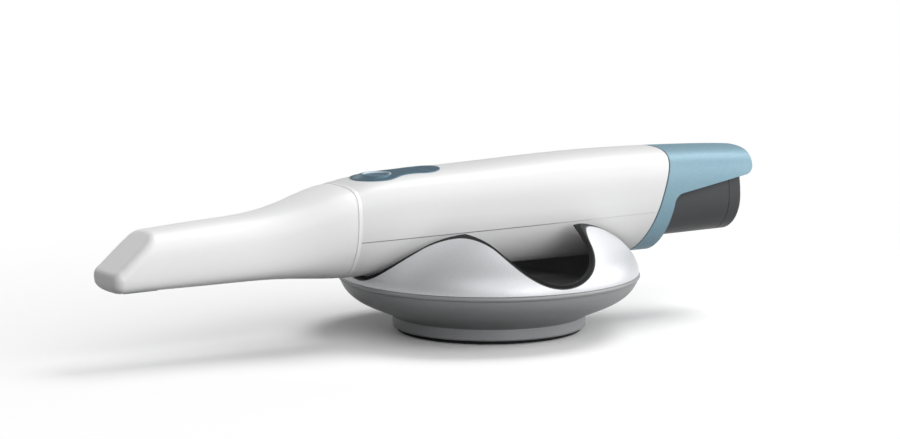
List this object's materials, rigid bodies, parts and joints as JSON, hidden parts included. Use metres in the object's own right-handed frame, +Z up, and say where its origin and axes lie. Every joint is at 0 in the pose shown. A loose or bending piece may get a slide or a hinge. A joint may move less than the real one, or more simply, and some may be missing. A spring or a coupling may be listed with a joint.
{
  "type": "intraoral scanner",
  "caption": "Cordless intraoral scanner with a pull-off mirror tip, top buttons and slide-out battery, lying in a round silver desktop stand with a dark saddle.",
  "frame": {"origin": "centre of the stand's underside, on the table", "axes": "+Z up, +X along the scanner from its tip to its tail, +Y across it"},
  "size_m": [0.2992, 0.126, 0.0714],
  "materials": {
    "white_shell": "satin",
    "white_ring": "gloss",
    "blue_hood": "satin",
    "blue_panel": "satin",
    "light_guide": "gloss",
    "battery_grey": "satin",
    "stand_silver": "satin",
    "saddle_dark": "matte",
    "foot_rubber": "matte",
    "ballast_iron": "bare",
    "black_plastic": "matte",
    "optical_glass": "polished",
    "front_mirror": "polished",
    "alloy": "bead blasted",
    "steel": "bright",
    "copper_coil": "lacquered",
    "circuit_board": "solder mask",
    "chip_black": "matte",
    "shield_can": "bright",
    "contact_gold": "plated",
    "cell_sleeve": "shrink sleeve"
  },
  "bodies": {
    "stand_and_handle": {"handle_upper_shell": "white_shell", "handle_lower_shell": "white_shell", "collar_ring": "white_ring", "rear_hood": "blue_hood", "control_panel": "blue_panel", "light_ring": "light_guide", "stand_upper_shell": "stand_silver", "stand_lower_shell": "stand_silver", "saddle_liner": "saddle_dark", "foot_pad": "foot_rubber", "grip_ring": "foot_rubber", "stand_ballast": "ballast_iron", "nose_tube": "black_plastic", "lamp_bracket": "black_plastic", "camera_barrel": "black_plastic", "contact_block": "black_plastic", "switches": "black_plastic", "nose_pane": "optical_glass", "relay_lens_1": "optical_glass", "relay_lens_2": "optical_glass", "beam_splitter": "optical_glass", "collimator_lens": "optical_glass", "camera_lens": "optical_glass", "chassis": "alloy", "guide_rods": "steel", "coil_yoke": "steel", "chassis_screws": "steel", "board_screws": "steel", "stand_screws": "steel", "switch_board": "circuit_board", "main_board": "circuit_board", "lamp_board": "circuit_board", "camera_board": "circuit_board", "processor": "chip_black", "radio_module": "shield_can", "contact_pins": "contact_gold"},
    "tip": {"tip_shell": "white_shell", "tip_window": "optical_glass", "tip_mirror": "front_mirror"},
    "battery": {"battery_case": "battery_grey", "battery_end_cap": "battery_grey", "battery_cells": "cell_sleeve", "battery_contacts": "contact_gold"},
    "scan_button": {"scan_button": "blue_panel"},
    "mode_button": {"mode_button": "blue_panel"},
    "focus_carriage": {"focus_carriage": "alloy", "focus_lens": "optical_glass", "focus_coil": "copper_coil"}
  },
  "joints": [
    {"name": "tip_pull", "type": "slide", "parent": "stand_and_handle", "child": "tip", "axis": [-0.9999, 0, -0.0155], "range_m": [0, 0.085]},
    {"name": "battery_slide", "type": "slide", "parent": "stand_and_handle", "child": "battery", "axis": [0.9999, 0, 0.0155], "range_m": [0, 0.066]},
    {"name": "scan_button_press", "type": "slide", "parent": "stand_and_handle", "child": "scan_button", "axis": [0.0155, 0, -0.9999], "range_m": [0, 0.0008], "stiffness_N_per_m": 1500},
    {"name": "mode_button_press", "type": "slide", "parent": "stand_and_handle", "child": "mode_button", "axis": [0.0155, 0, -0.9999], "range_m": [0, 0.0006], "stiffness_N_per_m": 1500},
    {"name": "focus_slide", "type": "slide", "parent": "stand_and_handle", "child": "focus_carriage", "axis": [0.9999, 0, 0.0155], "range_m": [-0.003, 0.003]}
  ]
}
